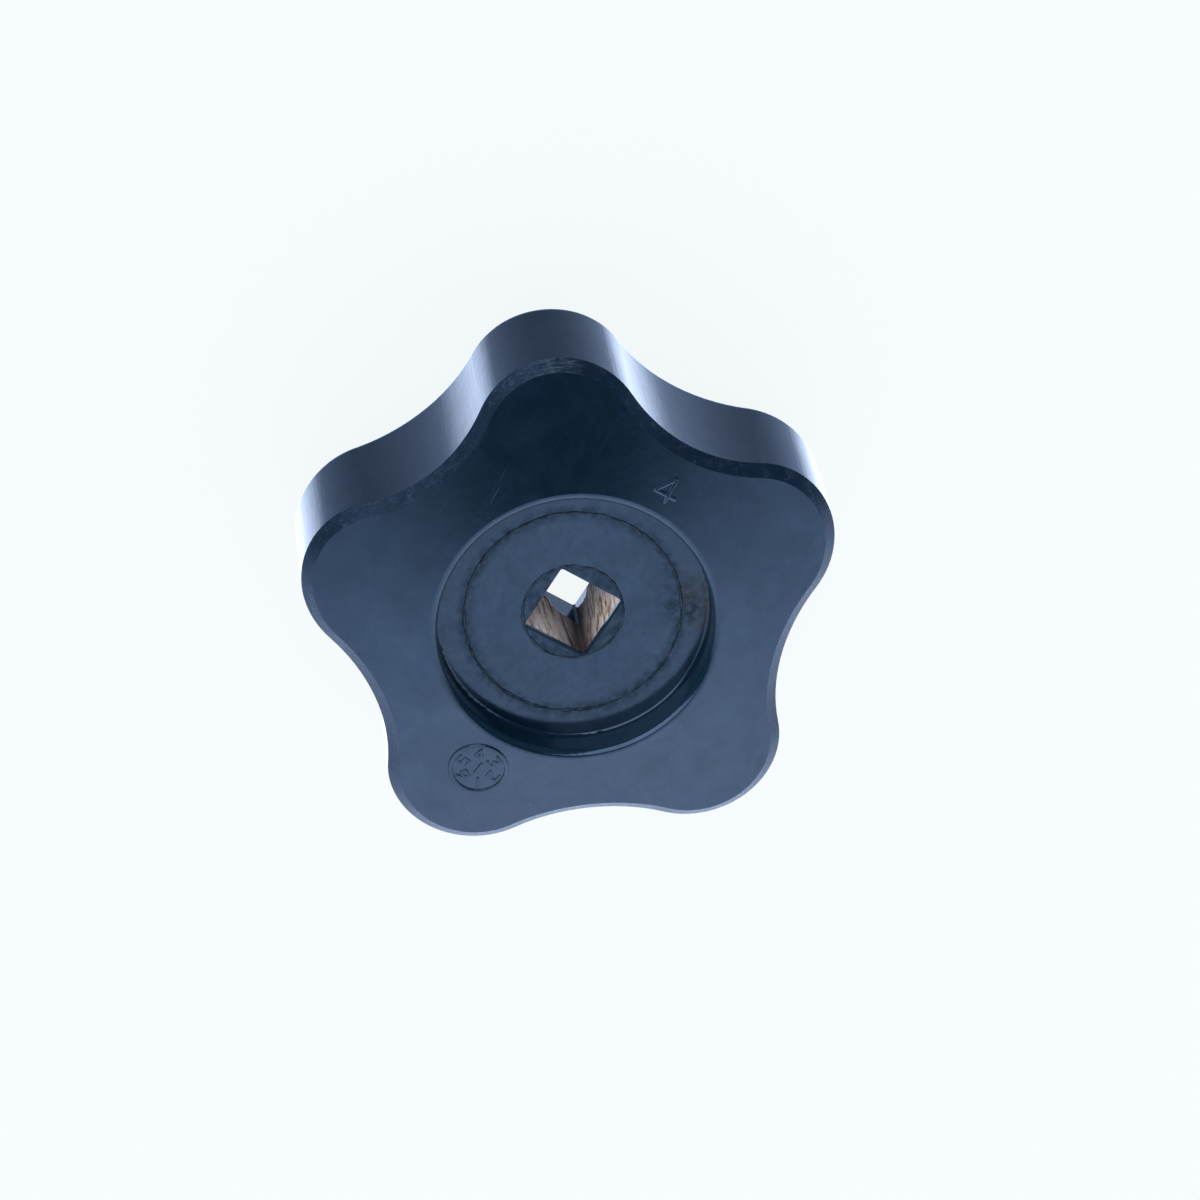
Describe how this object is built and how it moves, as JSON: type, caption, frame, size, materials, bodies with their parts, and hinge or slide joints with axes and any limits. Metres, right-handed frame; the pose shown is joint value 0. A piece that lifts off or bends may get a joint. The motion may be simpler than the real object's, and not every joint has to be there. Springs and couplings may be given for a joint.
{
  "type": "star knob",
  "caption": "Five-lobed star knob in black phenolic with a square through hole and a round recess on each side.",
  "frame": {"origin": "on the knob's axis, in the plane of the flat land that it rests on", "axes": "+Z along the axis towards the wide recess, +X through the tip of a lobe that a flat of the square hole faces"},
  "size_m": [0.0588, 0.0608, 0.0229],
  "materials": {
    "black_phenolic": "satin black phenolic with fine scratches, brown filler showing on the square hole's walls"
  },
  "bodies": {
    "root": {"star_knob": "black_phenolic"}
  },
  "joints": []
}
